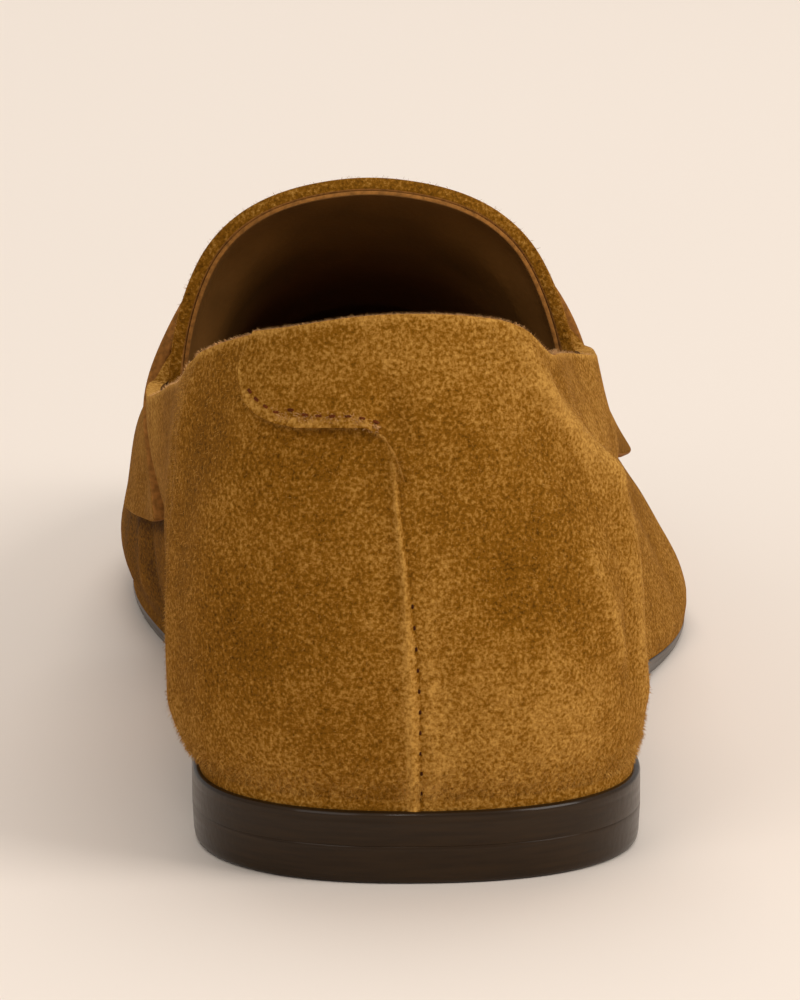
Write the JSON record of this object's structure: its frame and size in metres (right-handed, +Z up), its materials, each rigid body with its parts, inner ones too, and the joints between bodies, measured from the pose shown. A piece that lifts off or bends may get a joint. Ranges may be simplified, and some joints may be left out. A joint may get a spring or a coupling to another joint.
{
  "type": "loafer shoe",
  "caption": "Soft suede slip-on loafer for the right foot with a wide lined tongue, a saddle strap, a sewn back tab and a thin dark sole on a low heel.",
  "frame": {"origin": "on the floor under the centre of the heel", "axes": "+Z up, +Y towards the toe, +X towards the lateral side of the right foot"},
  "size_m": [0.0858, 0.258, 0.0804],
  "materials": {
    "suede": "napped suede",
    "lining": "smooth lining leather",
    "sole": "polished dark edge"
  },
  "bodies": {
    "root": {"upper": "suede", "tongue": "suede", "saddle_strap": "suede", "back_tab": "suede", "insole": "lining", "outsole": "sole", "heel": "sole"}
  },
  "joints": []
}
